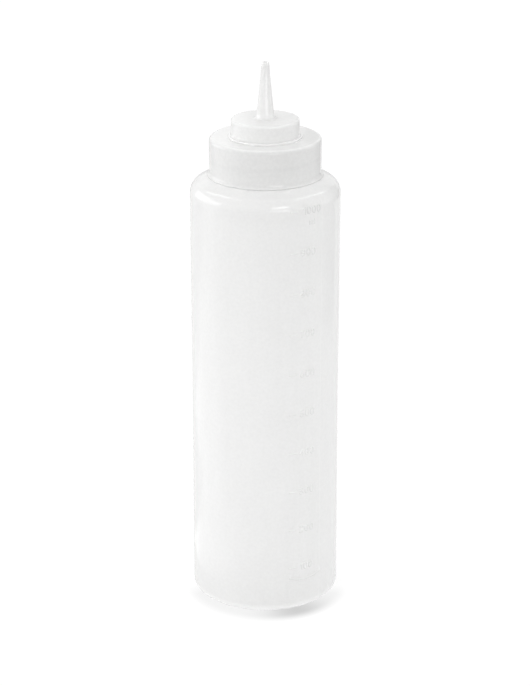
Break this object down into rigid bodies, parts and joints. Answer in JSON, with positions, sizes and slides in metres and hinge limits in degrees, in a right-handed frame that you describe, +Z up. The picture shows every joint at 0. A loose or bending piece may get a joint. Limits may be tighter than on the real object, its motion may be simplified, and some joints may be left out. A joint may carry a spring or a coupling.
{
  "type": "squeeze bottle",
  "caption": "Tall round squeeze bottle for sauce, with a raised volume scale up its wall and a smooth screw cap that rises in steps to a cone nozzle.",
  "frame": {"origin": "centre of the foot, on the surface that the bottle stands on", "axes": "+Z up the bottle towards the nozzle, -Y the front, with the volume scale a little to its right, towards +X"},
  "size_m": [0.078, 0.078, 0.2919],
  "materials": {
    "bottle_plastic": "milky translucent polyethylene with a soft satin shine",
    "cap_plastic": "milky translucent polyethylene, a little denser and smoother than the bottle",
    "seal_ring": "soft translucent white, matt"
  },
  "bodies": {
    "bottle": {"bottle": "bottle_plastic"},
    "seal": {"gasket": "seal_ring"},
    "cap": {"cap": "cap_plastic"}
  },
  "joints": [
    {"name": "cap_lift", "type": "slide", "parent": "bottle", "child": "seal", "axis": [0, 0, 1], "range_m": [0, 0.0201]},
    {"name": "cap_turn", "type": "hinge", "parent": "seal", "child": "cap", "pos_m": [0, 0, 0.2493], "axis": [0, 0, 1], "range_deg": [0, 1440]}
  ],
  "couplings": [
    {"joint": "cap_lift", "follows": "cap_turn", "m_per_rad": 0.00079577}
  ]
}
